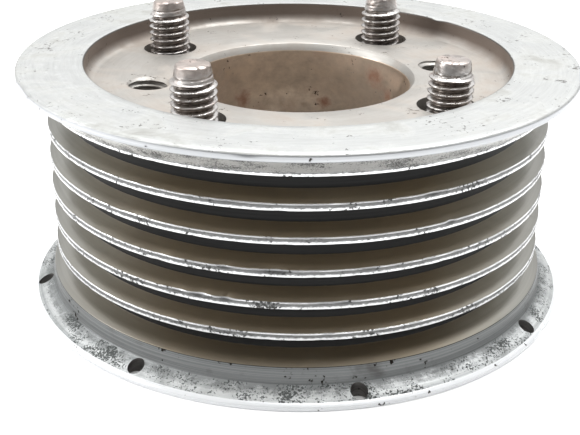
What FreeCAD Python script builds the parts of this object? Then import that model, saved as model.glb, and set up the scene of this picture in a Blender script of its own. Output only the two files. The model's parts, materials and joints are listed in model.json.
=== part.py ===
import FreeCAD, Part
import os
import re
import Sketcher

# Electromagnetic clutch: a six-groove belt pulley that stands on its lower rim, with the armature, rotor,
# coil and both bearings inside it. Millimetres and degrees. The axis of rotation is +Z and z = 0 is the
# plane of the lower rim. Four captive bolts stand up out of the mounting recess at the top.

Vector = FreeCAD.Vector
Rotation = FreeCAD.Rotation
Placement = FreeCAD.Placement
FULL_TURN = 360.0
EDGE_TOLERANCE = 1e-4

SIZES = {
    # belt pulley, outside
    "ridge_radius": 29.2,
    "groove_pitch": 3.56,
    "groove_count": 6,
    "groove_mouth": 2.81,
    "groove_depth": 2.1,
    "groove_slope": 20,
    "groove_overcut": 0.7,
    "top_groove_edge": 24.21,
    "rim_land": 0.35,
    "rim_radius": 32.3,
    "rim_edge_low": 26.85,
    "rim_bevel": 0.22,
    "rim_top": 27.66,
    "base_land_radius": 29.7,
    "base_corner_radius": 29.9,
    "base_corner_height": 1.72,
    "flange_bevel_radius": 31.87,
    "flange_bevel_height": 0.73,
    "flange_edge_height": 0.45,
    "flange_hole_count": 8,
    "flange_hole_radius": 0.92,
    "flange_hole_circle": 30.9,
    "flange_hole_angle": 0.8,
    "overrun": 1.0,
    "screw_runout": 0.5,
    # belt pulley, mounting side
    "recess_radius": 24.7,
    "recess_floor": 25.22,
    "recess_corner": 1.1,
    "web_under": 20.2,
    "pilot_radius": 13.1,
    "pilot_chamfer": 0.5,
    "pilot_chamfer_depth": 0.9,
    "pilot_bottom": 17.0,
    "mount_angle": 56.5,
    "bolt_count": 4,
    "bolt_circle": 19.4,
    "bolt_hole_radius": 3.3,
    "jack_count": 2,
    "jack_circle": 17.5,
    "jack_angle": 137,
    "jack_radius": 2.1,
    "jack_chamfer": 0.5,
    # belt pulley, inside
    "cavity_radius": 24.6,
    "cavity_chamfer": 0.5,
    "tube_radius": 15.5,
    "tube_bottom": 9.9,
    "tube_lip_radius": 12.3,
    # captive bolts
    "bolt_radius": 2.5,
    "bolt_neck_radius": 2.2,
    "bolt_neck_top": 25.4,
    "bolt_cone_bottom": 29.6,
    "bolt_cone_radius": 2.2,
    "bolt_runout": 0.15,
    "bolt_top": 31.3,
    "bolt_tip_radius": 1.75,
    "head_radius": 4.9,
    "head_height": 4.0,
    "head_flat": 3.8,
    # bolt retainer and leaf springs
    "retainer_bottom": 14.9,
    "retainer_top": 16.1,
    "retainer_inner": 15.7,
    "retainer_outer": 24.55,
    "spring_count": 4,
    "spring_thickness": 0.4,
    "spring_half_width": 1.8,
    "spring_span_angle": 48,
    "spring_first_angle": 45,
    "rivet_circle": 20.6,
    "rivet_radius": 1.0,
    "rivet_head_radius": 1.7,
    "rivet_head_height": 0.45,
    "rivet_clearance": 2.1,
    # armature and rotor
    "armature_bottom": 11.5,
    "armature_inner": 16.2,
    "armature_outer": 24.2,
    "rivet_sink": 0.2,
    "rivet_seat_depth": 0.8,
    "rotor_bottom": 8.7,
    "rotor_top": 11.1,
    "rotor_web_top": 9.6,
    "rotor_web_radius": 16.0,
    "separator_inner": 19.4,
    "separator_outer": 20.2,
    "lining_inner": 20.9,
    "lining_outer": 22.9,
    "lining_depth": 0.8,
    "hub_bore": 5.0,
    "hub_radius": 8.5,
    "hub_shoulder": 9.3,
    "hub_bottom": 0.8,
    "hub_top": 16.6,
    "hub_chamfer": 0.3,
    "key_width": 3.0,
    "key_top": 6.4,
    # bearings, 17 x 26 x 5
    "bearing_seat": 13.0,
    "bearing_width": 5.0,
    "bearing_land_inner": 9.9,
    "bearing_land_outer": 11.6,
    "bearing_chamfer": 0.2,
    "ball_radius": 1.25,
    "ball_clearance": 0.05,
    "ball_circle": 10.75,
    "ball_count": 14,
    "cage_inner": 10.3,
    "cage_outer": 11.2,
    "cage_half_width": 1.65,
    "cage_pocket": 1.35,
    "seal_inner": 10.05,
    "seal_thickness": 0.35,
    "seal_inset": 0.1,
    "pulley_bearing_bottom": 10.2,
    "stator_bearing_bottom": 2.6,
    # retaining rings
    "clip_thickness": 0.8,
    "clip_depth": 0.5,
    "clip_height": 1.2,
    "clip_gap": 4.0,
    # stator
    "stator_bottom": 0.6,
    "stator_top": 8.3,
    "stator_floor": 2.6,
    "stator_lip_radius": 12.3,
    "inner_pole_radius": 14.4,
    "outer_pole_inner": 21.8,
    "outer_pole_radius": 23.4,
    "stator_clip_thickness": 0.6,
    "stator_hole_circle": 18.0,
    "stator_hole_count": 3,
    "stator_hole_radius": 1.25,
    "stator_hole_angle": 0,
    "bobbin_wall": 0.6,
    "bobbin_gap": 0.1,
    "bobbin_top": 7.7,
    "potting_top": 8.15,
    "grommet_radius": 2.5,
    "grommet_angle": 60,
    "contact_radius": 0.45,
    "contact_offset": 1.1,
    "contact_bottom": 0.15,
    "dowel_radius": 1.5,
    "dowel_bottom": 0.1,
    "dowel_angle": 180,
}

doc = FreeCAD.newDocument("electromagnetic_clutch")
sheet = doc.addObject("Spreadsheet::Sheet", "dims")
for row, (alias, number) in enumerate(SIZES.items(), start=1):
    sheet.set(f"A{row}", alias)
    sheet.set(f"B{row}", str(number))
    sheet.setAlias(f"B{row}", alias)
doc.recompute()

pieces = []


def linked(text):
    """The same expression with every size name written as a reference to the sheet."""
    return re.sub(r"[a-z]\w*", lambda word: f"dims.{word[0]}" if word[0] in SIZES else word[0], text)


def number_of(text):
    return float(sheet.evalExpression(linked(text)))


def origin_part(body, role):
    return next(feature for feature in body.Origin.OriginFeatures if feature.Role == role)


def new_body(name):
    body = doc.addObject("PartDesign::Body", name)
    body.Label = name
    pieces.append(body)
    return body


def new_sketch(body, name, plane="XZ_Plane"):
    sketch = body.newObject("Sketcher::SketchObject", name)
    sketch.AttachmentSupport = [(origin_part(body, plane), "")]
    sketch.MapMode = "FlatFace"
    return sketch


def bind(sketch, kind, places, text):
    """Add a dimension to a sketch and tie it to the sheet."""
    index = sketch.addConstraint(Sketcher.Constraint(kind, *places, number_of(text)))
    sketch.setExpression(f"Constraints[{index}]", linked(text))


def pin_point(sketch, edge, end, across, up):
    """Fix one sketch point by its two distances from the origin. A distance of "0" puts it on the axis."""
    for kind, axis, text in (("DistanceX", -2, across), ("DistanceY", -1, up)):
        if text == "0":
            sketch.addConstraint(Sketcher.Constraint("PointOnObject", edge, end, axis))
        else:
            bind(sketch, kind, (-1, 1, edge, end), text)


def outline(body, name, points, plane="XZ_Plane"):
    """A closed outline of straight lines, each corner given by two expressions."""
    sketch = new_sketch(body, name, plane)
    corners = [Vector(number_of(across), number_of(up), 0) for across, up in points]
    count = len(corners)
    for index in range(count):
        sketch.addGeometry(Part.LineSegment(corners[index], corners[(index + 1) % count]))
    for index in range(count):
        sketch.addConstraint(Sketcher.Constraint("Coincident", index, 2, (index + 1) % count, 1))
    for index, (across, up) in enumerate(points):
        pin_point(sketch, index, 1, across, up)
    return sketch


def turn(body, name, points, kind="PartDesign::Revolution"):
    """Turn an outline about the body's Z axis, to add material or to cut it away."""
    sketch = outline(body, f"{name}_outline", points)
    feature = body.newObject(kind, name)
    feature.Profile = sketch
    feature.ReferenceAxis = (sketch, ["V_Axis"])
    feature.Angle = FULL_TURN
    return feature


def turned(name, points):
    body = new_body(name)
    turn(body, f"{name}_turning", points)
    return body


def rectangle(inner, outer, low, high):
    return [(inner, low), (outer, low), (outer, high), (inner, high)]


def raise_sketch(sketch, height):
    sketch.setExpression("AttachmentOffset.Base.z", linked(height))


def extrude(body, sketch, name, low, high, kind):
    """Pad or pocket a sketch from one height to another along +Z."""
    raise_sketch(sketch, low)
    feature = body.newObject(kind, name)
    feature.Profile = sketch
    feature.setExpression("Length", linked(f"({high}) - ({low})"))
    feature.Reversed = kind == "PartDesign::Pocket"
    return feature


def polar(circle, angle):
    """The two expressions of a point on a circle at an angle."""
    return f"({circle}) * cos({angle})", f"({circle}) * sin({angle})"


def circle_sketch(body, name, centres, radius):
    sketch = new_sketch(body, name, "XY_Plane")
    for index, (across, up) in enumerate(centres):
        centre = Vector(number_of(across), number_of(up), 0)
        sketch.addGeometry(Part.Circle(centre, Vector(0, 0, 1), number_of(radius)))
        pin_point(sketch, index, 3, across, up)
        bind(sketch, "Radius", (index,), radius)
    return sketch


def drill(body, name, radius, centres, low, high):
    sketch = circle_sketch(body, f"{name}_circle", centres, radius)
    return extrude(body, sketch, name, low, high, "PartDesign::Pocket")


def repeat(body, feature, count):
    """Repeat a feature evenly round the body's Z axis."""
    pattern = body.newObject("PartDesign::PolarPattern", f"{feature.Name}_pattern")
    pattern.Originals = [feature]
    pattern.Axis = (origin_part(body, "Z_Axis"), [""])
    pattern.Angle = FULL_TURN
    pattern.setExpression("Occurrences", linked(count))
    body.Tip = pattern
    return pattern


def place_round_axis(item, angle, circle=None, height="0"):
    """Put an item at an angle on a circle, turned so that its own +X points away from the axis."""
    item.Placement = Placement(Vector(), Rotation(Vector(0, 0, 1), number_of(angle)))
    item.setExpression("Placement.Rotation.Angle", linked(angle))
    item.setExpression("Placement.Base.z", linked(height))
    if circle:
        across, up = polar(circle, angle)
        item.setExpression("Placement.Base.x", linked(across))
        item.setExpression("Placement.Base.y", linked(up))


def primitive(kind, name, **sizes):
    item = doc.addObject(kind, name)
    for key, text in sizes.items():
        item.setExpression(key, linked(text))
    return item


def group(name, members):
    """One node that holds several separate solids."""
    compound = doc.addObject("Part::Compound", name)
    compound.Label = name
    compound.Links = members
    pieces.append(compound)
    return compound


def edges_at(shape, radius, height):
    """The names of the circular edges of that radius at that height."""
    names = []
    for index, edge in enumerate(shape.Edges, start=1):
        curve = edge.Curve
        if not isinstance(curve, Part.Circle):
            continue
        if abs(curve.Radius - radius) + abs(curve.Center.z - height) < EDGE_TOLERANCE:
            names.append(f"Edge{index}")
    if not names:
        raise ValueError(f"no edge of radius {radius} at height {height}")
    return names


# ---- belt pulley ----


def make_pulley_shell():
    body = turned("pulley_shell", [
        ("cavity_radius + cavity_chamfer", "0"),
        ("rim_radius", "0"),
        ("rim_radius", "flange_edge_height"),
        ("flange_bevel_radius", "flange_bevel_height"),
        ("base_corner_radius", "base_corner_height"),
        ("base_land_radius", "top_groove_edge - (groove_count - 1) * groove_pitch - groove_mouth"),
        ("ridge_radius", "top_groove_edge - (groove_count - 1) * groove_pitch - groove_mouth"),
        ("ridge_radius", "top_groove_edge + rim_land"),
        ("rim_radius", "rim_edge_low"),
        ("rim_radius", "rim_top - rim_bevel"),
        ("rim_radius - rim_bevel", "rim_top"),
        ("recess_radius", "rim_top"),
        ("recess_radius", "recess_floor"),
        ("pilot_radius + pilot_chamfer", "recess_floor"),
        ("pilot_radius", "recess_floor - pilot_chamfer_depth"),
        ("pilot_radius", "pilot_bottom"),
        ("bearing_seat", "pulley_bearing_bottom + bearing_width + clip_thickness"),
        ("bearing_seat", "pulley_bearing_bottom"),
        ("tube_lip_radius", "pulley_bearing_bottom"),
        ("tube_lip_radius", "tube_bottom"),
        ("tube_radius", "tube_bottom"),
        ("tube_radius", "web_under"),
        ("cavity_radius", "web_under"),
        ("cavity_radius", "cavity_chamfer"),
    ])
    doc.recompute()
    turning = body.Tip
    edges = edges_at(turning.Shape, number_of("recess_radius"), number_of("recess_floor"))
    corner = body.newObject("PartDesign::Fillet", "recess_corner_fillet")
    corner.Base = (turning, edges)
    corner.setExpression("Radius", linked("recess_corner"))
    cut_belt_grooves(body)
    clip_top = "pulley_bearing_bottom + bearing_width + clip_thickness"
    clip_low = "pulley_bearing_bottom + bearing_width"
    groove = rectangle("bearing_seat - clip_depth", "bearing_seat + clip_depth", clip_low, clip_top)
    turn(body, "pulley_clip_groove", groove, "PartDesign::Groove")
    drilled = [
        ("bolt_hole", "bolt_hole_radius", polar("bolt_circle", "0"), "web_under - overrun",
         "recess_floor + overrun", "bolt_count"),
        ("jack_thread", "jack_radius", polar("jack_circle", "jack_angle"), "web_under - overrun",
         "recess_floor + overrun", "jack_count"),
        ("flange_hole", "flange_hole_radius", polar("flange_hole_circle", "flange_hole_angle"), "0 - overrun",
         "base_corner_height", "flange_hole_count"),
    ]
    for name, radius, centre, low, high, count in drilled:
        repeat(body, drill(body, name, radius, [centre], low, high), count)
    countersink(body)
    place_round_axis(body, "mount_angle")


def cut_belt_grooves(body):
    """Six V grooves with flat roots, the lowest one cut first and the others stepped up the pulley."""
    middle = "top_groove_edge - (groove_count - 1) * groove_pitch - groove_mouth / 2"
    root = "groove_mouth / 2 - groove_depth * tan(groove_slope)"
    outside = "groove_mouth / 2 + groove_overcut * tan(groove_slope)"
    cut = turn(body, "belt_groove", [
        ("ridge_radius - groove_depth", f"{middle} - ({root})"),
        ("ridge_radius + groove_overcut", f"{middle} - ({outside})"),
        ("ridge_radius + groove_overcut", f"{middle} + ({outside})"),
        ("ridge_radius - groove_depth", f"{middle} + ({root})"),
    ], "PartDesign::Groove")
    pattern = body.newObject("PartDesign::LinearPattern", "belt_grooves")
    pattern.Originals = [cut]
    pattern.Direction = (origin_part(body, "Z_Axis"), [""])
    pattern.setExpression("Length", linked("(groove_count - 1) * groove_pitch"))
    pattern.setExpression("Occurrences", linked("groove_count"))
    body.Tip = pattern


def countersink(body):
    """Chamfer the mouths of the two jacking threads."""
    doc.recompute()
    drilled = body.Tip
    names = edges_at(drilled.Shape, number_of("jack_radius"), number_of("recess_floor"))
    chamfer = body.newObject("PartDesign::Chamfer", "jack_mouth_chamfer")
    chamfer.Base = (drilled, names)
    chamfer.setExpression("Size", linked("jack_chamfer"))


def make_bolt(index):
    """A captive bolt: its head has a flat that bears on the hub tube, so that it can't turn."""
    name = f"mounting_bolt_{index + 1}"
    body = turned(name, [
        ("0", "web_under - head_height"),
        ("head_radius", "web_under - head_height"),
        ("head_radius", "web_under"),
        ("bolt_neck_radius", "web_under"),
        ("bolt_neck_radius", "bolt_neck_top"),
        ("bolt_radius", "bolt_neck_top"),
        ("bolt_radius", "bolt_cone_bottom"),
        ("bolt_cone_radius", "bolt_cone_bottom + bolt_runout"),
        ("bolt_tip_radius", "bolt_top"),
        ("0", "bolt_top"),
    ])
    flat = outline(body, f"{name}_flat_outline", [
        ("0 - head_radius - overrun", "0 - head_radius - overrun"),
        ("0 - head_flat", "0 - head_radius - overrun"),
        ("0 - head_flat", "head_radius + overrun"),
        ("0 - head_radius - overrun", "head_radius + overrun"),
    ], "XY_Plane")
    extrude(body, flat, f"{name}_flat", "web_under - head_height - overrun", "web_under",
            "PartDesign::Pocket")
    place_round_axis(body, f"mount_angle + {index} * 360 / bolt_count", "bolt_circle")


# ---- bolt retainer, leaf springs and rivets ----


def make_retainer():
    """The ring under the bolt heads: it keeps the bolts in and carries the leaf springs."""
    section = rectangle("retainer_inner", "retainer_outer", "retainer_bottom", "retainer_top")
    body = turned("bolt_retainer", section)
    fixed = polar("rivet_circle", "spring_first_angle")
    free = polar("rivet_circle", "spring_first_angle + spring_span_angle")
    low, high = "retainer_bottom - overrun", "retainer_top + overrun"
    repeat(body, drill(body, "retainer_rivet_hole", "rivet_radius", [fixed], low, high), "spring_count")
    repeat(body, drill(body, "retainer_clearance_hole", "rivet_clearance", [free], low, high), "spring_count")
    place_round_axis(body, "mount_angle")


def make_leaf_spring(index):
    """A flat strip with round ends, riveted to the retainer at one end and to the armature at the other."""
    name = f"leaf_spring_{index + 1}"
    body = new_body(name)
    sketch = new_sketch(body, f"{name}_outline", "XY_Plane")
    length = "2 * rivet_circle * sin(spring_span_angle / 2)"
    span, half = number_of(length), number_of("spring_half_width")
    up, down = Vector(0, half, 0), Vector(0, -half, 0)
    far = Vector(span, 0, 0)
    far_end = Part.ArcOfCircle(far + down, far + Vector(half, 0, 0), far + up)
    near_end = Part.ArcOfCircle(up, Vector(-half, 0, 0), down)
    edges = [Part.LineSegment(down, far + down), far_end, Part.LineSegment(far + up, up), near_end]
    for edge in edges:
        sketch.addGeometry(edge)
    sketch.addConstraint([
        Sketcher.Constraint("Coincident", 3, 3, -1, 1),
        Sketcher.Constraint("PointOnObject", 1, 3, -1),
        Sketcher.Constraint("Tangent", 0, 2, 1, 1),
        Sketcher.Constraint("Tangent", 1, 2, 2, 1),
        Sketcher.Constraint("Tangent", 2, 2, 3, 1),
        Sketcher.Constraint("Tangent", 3, 2, 0, 1),
    ])
    bind(sketch, "Radius", (3,), "spring_half_width")
    bind(sketch, "DistanceX", (-1, 1, 1, 3), length)
    low, high = "retainer_bottom - spring_thickness", "retainer_bottom"
    extrude(body, sketch, f"{name}_strip", low, high, "PartDesign::Pad")
    centres = [("0", "0"), (length, "0")]
    drill(body, f"{name}_holes", "rivet_radius", centres, f"{low} - overrun", f"{high} + overrun")
    start = f"mount_angle + spring_first_angle + {index} * 360 / spring_count"
    place_round_axis(body, f"{start} + 90 + spring_span_angle / 2")
    across, up = polar("rivet_circle", start)
    body.setExpression("Placement.Base.x", linked(across))
    body.setExpression("Placement.Base.y", linked(up))


def make_rivets(name, angle, shank_low, shank_high):
    """A set of rivets round the axis, each a shank with a head at both ends."""
    rivets = []
    for index in range(int(SIZES["spring_count"])):
        tag = f"{name}_{index + 1}"
        shank = primitive("Part::Cylinder", f"{tag}_shank", Radius="rivet_radius",
                          Height=f"({shank_high}) - ({shank_low}) + 2 * rivet_head_height")
        shank.setExpression("Placement.Base.z", linked(f"{shank_low} - rivet_head_height"))
        heads = []
        for end, height in (("low", f"{shank_low} - rivet_head_height"), ("high", shank_high)):
            head = primitive("Part::Cylinder", f"{tag}_{end}_head", Radius="rivet_head_radius",
                             Height="rivet_head_height")
            head.setExpression("Placement.Base.z", linked(height))
            heads.append(head)
        rivet = doc.addObject("Part::MultiFuse", tag)
        rivet.Shapes = [shank] + heads
        place_round_axis(rivet, f"mount_angle + {angle} + {index} * 360 / spring_count", "rivet_circle")
        rivets.append(rivet)
    group(name, rivets)


# ---- armature and rotor ----


def make_armature():
    armature_top = "retainer_bottom - spring_thickness"
    section = rectangle("armature_inner", "armature_outer", "armature_bottom", armature_top)
    body = turned("armature_plate", section)
    free = polar("rivet_circle", "spring_first_angle + spring_span_angle")
    fixed = polar("rivet_circle", "spring_first_angle")
    low, high = "armature_bottom - overrun", "retainer_bottom + overrun"
    seat_top = "armature_bottom + rivet_seat_depth"
    repeat(body, drill(body, "armature_rivet_hole", "rivet_radius", [free], low, high), "spring_count")
    seat = drill(body, "armature_rivet_seat", "rivet_head_radius + ball_clearance", [free], low, seat_top)
    repeat(body, seat, "spring_count")
    clearance = drill(body, "armature_clearance_hole", "rivet_clearance", [fixed], low, high)
    repeat(body, clearance, "spring_count")
    place_round_axis(body, "mount_angle")


def make_rotor():
    hub = turned("rotor_hub", [
        ("hub_bore + hub_chamfer", "hub_bottom"),
        ("hub_radius - hub_chamfer", "hub_bottom"),
        ("hub_radius", "hub_bottom + hub_chamfer"),
        ("hub_radius", "rotor_bottom"),
        ("hub_shoulder", "rotor_bottom"),
        ("hub_shoulder", "pulley_bearing_bottom"),
        ("hub_radius", "pulley_bearing_bottom"),
        ("hub_radius", "hub_top - hub_chamfer"),
        ("hub_radius - hub_chamfer", "hub_top"),
        ("hub_bore + hub_chamfer", "hub_top"),
        ("hub_bore", "hub_top - hub_chamfer"),
        ("hub_bore", "hub_bottom + hub_chamfer"),
    ])
    upper = "pulley_bearing_bottom + bearing_width"
    lower = "stator_bearing_bottom - clip_thickness"
    for name, low in (("hub_upper_groove", upper), ("hub_lower_groove", lower)):
        groove = rectangle("hub_radius - clip_depth", "hub_radius + clip_depth", low,
                           f"{low} + clip_thickness")
        turn(hub, name, groove, "PartDesign::Groove")
    keyway = outline(hub, "keyway_outline", [
        ("0", "0 - key_width / 2"),
        ("key_top", "0 - key_width / 2"),
        ("key_top", "key_width / 2"),
        ("0", "key_width / 2"),
    ], "XY_Plane")
    extrude(hub, keyway, "keyway", "hub_bottom - overrun", "hub_top + overrun", "PartDesign::Pocket")
    turned("rotor_disc", [
        ("hub_shoulder", "rotor_bottom"),
        ("separator_inner", "rotor_bottom"),
        ("separator_inner", "rotor_top"),
        ("rotor_web_radius", "rotor_top"),
        ("rotor_web_radius", "rotor_web_top"),
        ("hub_shoulder", "rotor_web_top"),
    ])
    turned("pole_separator", rectangle("separator_inner", "separator_outer", "rotor_bottom", "rotor_top"))
    turned("rotor_pole_ring", [
        ("separator_outer", "rotor_bottom"),
        ("armature_outer", "rotor_bottom"),
        ("armature_outer", "rotor_top"),
        ("lining_outer", "rotor_top"),
        ("lining_outer", "rotor_top - lining_depth"),
        ("lining_inner", "rotor_top - lining_depth"),
        ("lining_inner", "rotor_top"),
        ("separator_outer", "rotor_top"),
    ])
    lining = rectangle("lining_inner", "lining_outer", "rotor_top - lining_depth", "rotor_top")
    turned("friction_lining", lining)


# ---- bearings and retaining rings ----


def make_bearing(name, bottom):
    """A sealed ball bearing: two raced rings, two seals, the balls and their cage."""
    top = f"{bottom} + bearing_width"
    middle = f"{bottom} + bearing_width / 2"
    races = (
        ("inner_ring", "hub_radius", "bearing_land_inner"),
        ("outer_ring", "bearing_land_outer", "bearing_seat"),
    )
    for ring, inner, outer in races:
        turned(f"{name}_{ring}", [
            (f"{inner}", f"{bottom} + bearing_chamfer"),
            (f"{inner} + bearing_chamfer", bottom),
            (f"{outer} - bearing_chamfer", bottom),
            (f"{outer}", f"{bottom} + bearing_chamfer"),
            (f"{outer}", f"{top} - bearing_chamfer"),
            (f"{outer} - bearing_chamfer", top),
            (f"{inner} + bearing_chamfer", top),
            (f"{inner}", f"{top} - bearing_chamfer"),
        ])
        cut_race(f"{name}_{ring}", middle)
    seals = []
    seal_lows = (
        f"{bottom} + seal_inset + bearing_chamfer",
        f"{top} - seal_inset - bearing_chamfer - seal_thickness",
    )
    for side, low in zip(("lower", "upper"), seal_lows):
        disc = primitive("Part::Cylinder", f"{name}_{side}_seal_disc", Radius="bearing_land_outer",
                         Height="seal_thickness")
        hole = primitive("Part::Cylinder", f"{name}_{side}_seal_hole", Radius="seal_inner",
                         Height="seal_thickness")
        seal = doc.addObject("Part::Cut", f"{name}_{side}_seal")
        seal.Base, seal.Tool = disc, hole
        seal.setExpression("Placement.Base.z", linked(low))
        seals.append(seal)
    group(f"{name}_seals", seals)
    make_balls(name, middle)


def cut_race(ring, middle):
    """Turn a torus out of a bearing ring, where the balls roll."""
    body = doc.getObject(ring)
    sketch = new_sketch(body, f"{ring}_race_circle")
    centre = Vector(number_of("ball_circle"), number_of(middle), 0)
    sketch.addGeometry(Part.Circle(centre, Vector(0, 0, 1), number_of("ball_radius + ball_clearance")))
    pin_point(sketch, 0, 3, "ball_circle", middle)
    bind(sketch, "Radius", (0,), "ball_radius + ball_clearance")
    race = body.newObject("PartDesign::Groove", f"{ring}_race")
    race.Profile = sketch
    race.ReferenceAxis = (sketch, ["V_Axis"])
    race.Angle = FULL_TURN


def make_balls(name, middle):
    """The balls, and the ring that spaces them: one round pocket for each ball."""
    balls = []
    for index in range(int(SIZES["ball_count"])):
        ball = primitive("Part::Sphere", f"{name}_ball_{index + 1}", Radius="ball_radius")
        place_round_axis(ball, f"{index} * 360 / ball_count", "ball_circle", middle)
        balls.append(ball)
    group(f"{name}_balls", balls)
    low, high = f"{middle} - cage_half_width", f"{middle} + cage_half_width"
    cage = turned(f"{name}_cage", rectangle("cage_inner", "cage_outer", low, high))
    sketch = new_sketch(cage, f"{name}_pocket_circle", "YZ_Plane")
    centre = Vector(0, number_of(middle), 0)
    sketch.addGeometry(Part.Circle(centre, Vector(0, 0, 1), number_of("cage_pocket")))
    pin_point(sketch, 0, 3, "0", middle)
    bind(sketch, "Radius", (0,), "cage_pocket")
    pocket = cage.newObject("PartDesign::Pocket", f"{name}_pocket")
    pocket.Profile = sketch
    pocket.setExpression("Length", linked("cage_outer + overrun"))
    pocket.Reversed = True
    repeat(cage, pocket, "ball_count")


def make_clip(name, inner, outer, low, thickness):
    """A retaining ring with a gap, so that it can be sprung into its groove."""
    body = turned(name, rectangle(inner, outer, low, f"{low} + {thickness}"))
    gap = outline(body, f"{name}_gap_outline", [
        ("0", "0 - clip_gap / 2"),
        ("bearing_seat + 2 * overrun", "0 - clip_gap / 2"),
        ("bearing_seat + 2 * overrun", "clip_gap / 2"),
        ("0", "clip_gap / 2"),
    ], "XY_Plane")
    extrude(body, gap, f"{name}_gap", f"{low} - overrun", f"{low} + {thickness} + overrun",
            "PartDesign::Pocket")


def make_clips():
    above_pulley_bearing = "pulley_bearing_bottom + bearing_width"
    above_stator_bearing = "stator_bearing_bottom + bearing_width"
    housing = (
        "bearing_seat + clip_depth - clip_height - ball_clearance",
        "bearing_seat + clip_depth - ball_clearance",
    )
    shaft = (
        "hub_radius - clip_depth + ball_clearance",
        "hub_radius - clip_depth + clip_height + ball_clearance",
    )
    make_clip("pulley_bearing_circlip", *housing, above_pulley_bearing, "clip_thickness")
    make_clip("stator_bearing_circlip", *housing, above_stator_bearing, "stator_clip_thickness")
    make_clip("hub_upper_circlip", *shaft, above_pulley_bearing, "clip_thickness")
    make_clip("hub_lower_circlip", *shaft, "stator_bearing_bottom - clip_thickness", "clip_thickness")


# ---- stator ----


def make_stator():
    shell = turned("stator_shell", [
        ("stator_lip_radius", "stator_bottom"),
        ("outer_pole_radius", "stator_bottom"),
        ("outer_pole_radius", "stator_top"),
        ("outer_pole_inner", "stator_top"),
        ("outer_pole_inner", "stator_floor"),
        ("inner_pole_radius", "stator_floor"),
        ("inner_pole_radius", "stator_top"),
        ("bearing_seat", "stator_top"),
        ("bearing_seat", "stator_bearing_bottom"),
        ("stator_lip_radius", "stator_bearing_bottom"),
    ])
    clip_low = "stator_bearing_bottom + bearing_width"
    groove = rectangle("bearing_seat - clip_depth", "bearing_seat + clip_depth", clip_low,
                       f"{clip_low} + stator_clip_thickness")
    turn(shell, "stator_clip_groove", groove, "PartDesign::Groove")
    low, high = "stator_bottom - overrun", "stator_floor + screw_runout"
    centres = [polar("stator_hole_circle", "stator_hole_angle")]
    tapped = drill(shell, "stator_thread", "stator_hole_radius", centres, low, high)
    repeat(shell, tapped, "stator_hole_count")
    drill(shell, "grommet_hole", "grommet_radius", [polar("stator_hole_circle", "grommet_angle")], low, high)
    drill(shell, "dowel_hole", "dowel_radius", [polar("stator_hole_circle", "dowel_angle")], low, high)


def make_coil():
    inner, outer = "inner_pole_radius + bobbin_gap", "outer_pole_inner - bobbin_gap"
    low, high = "stator_floor + bobbin_gap", "bobbin_top"
    turned("coil_bobbin", [
        (inner, low),
        (outer, low),
        (outer, f"{low} + bobbin_wall"),
        (f"{inner} + bobbin_wall", f"{low} + bobbin_wall"),
        (f"{inner} + bobbin_wall", f"{high} - bobbin_wall"),
        (outer, f"{high} - bobbin_wall"),
        (outer, high),
        (inner, high),
    ])
    winding = (f"{inner} + bobbin_wall", f"{outer} - bobbin_wall")
    turned("coil_winding", rectangle(*winding, f"{low} + bobbin_wall", f"{high} - bobbin_wall"))
    turned("coil_potting", rectangle("inner_pole_radius", "outer_pole_inner", high, "potting_top"))


def make_stator_fittings():
    """The coil's lead inlet with its two contacts, and the dowel that stops the stator from turning."""
    grommet = new_body("lead_grommet")
    outside = circle_sketch(grommet, "grommet_circle", [("0", "0")], "grommet_radius")
    extrude(grommet, outside, "grommet_disc", "stator_bottom", "stator_floor", "PartDesign::Pad")
    centres = [("0", "contact_offset"), ("0", "0 - contact_offset")]
    drill(grommet, "contact_holes", "contact_radius", centres, "stator_bottom - overrun",
          "stator_floor + overrun")
    place_round_axis(grommet, "grommet_angle", "stator_hole_circle")
    pins = []
    for index, sign in enumerate(("+", "-"), start=1):
        pin = primitive("Part::Cylinder", f"coil_contact_{index}", Radius="contact_radius",
                        Height="stator_floor + bobbin_gap - contact_bottom")
        pin.setExpression("Placement.Base.z", linked("contact_bottom"))
        angle = "grommet_angle"
        along, side = polar("stator_hole_circle", angle), polar("contact_offset", f"{angle} + 90")
        pin.setExpression("Placement.Base.x", linked(f"{along[0]} {sign} {side[0]}"))
        pin.setExpression("Placement.Base.y", linked(f"{along[1]} {sign} {side[1]}"))
        pins.append(pin)
    group("coil_contacts", pins)
    dowel = primitive("Part::Cylinder", "anti_rotation_dowel", Radius="dowel_radius",
                      Height="stator_floor - dowel_bottom")
    place_round_axis(dowel, "dowel_angle", "stator_hole_circle", "dowel_bottom")
    pieces.append(dowel)


def check_and_write():
    doc.recompute()
    problems = [item.Name for item in doc.Objects if {"Invalid", "Error"} & set(item.State)]
    for piece in pieces:
        if piece.Shape.isNull() or not piece.Shape.isValid() or not piece.Shape.Solids:
            problems.append(piece.Label)
    if problems:
        raise RuntimeError(f"these objects failed: {problems}")
    os.makedirs("parts", exist_ok=True)
    for piece in pieces:
        piece.Shape.exportStep(f"parts/{piece.Label}.step")
        box = piece.Shape.BoundBox
        print(f"{piece.Label:28s} solids {len(piece.Shape.Solids):2d} volume {piece.Shape.Volume:9.2f} "
              f"z {box.ZMin:6.2f} to {box.ZMax:6.2f} radius {max(box.XMax, box.YMax):6.2f}")


make_pulley_shell()
for bolt in range(int(SIZES["bolt_count"])):
    make_bolt(bolt)
make_retainer()
for spring in range(int(SIZES["spring_count"])):
    make_leaf_spring(spring)
make_rivets("retainer_rivets", "spring_first_angle", "retainer_bottom - spring_thickness", "retainer_top")
make_armature()
make_rivets("armature_rivets", "spring_first_angle + spring_span_angle",
            "armature_bottom + rivet_sink + rivet_head_height", "retainer_bottom")
make_rotor()
make_bearing("pulley_bearing", "pulley_bearing_bottom")
make_bearing("stator_bearing", "stator_bearing_bottom")
make_clips()
make_stator()
make_coil()
make_stator_fittings()
check_and_write()
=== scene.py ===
import json
import math

import bmesh
import bpy
from mathutils import Matrix, Vector, noise


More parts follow.
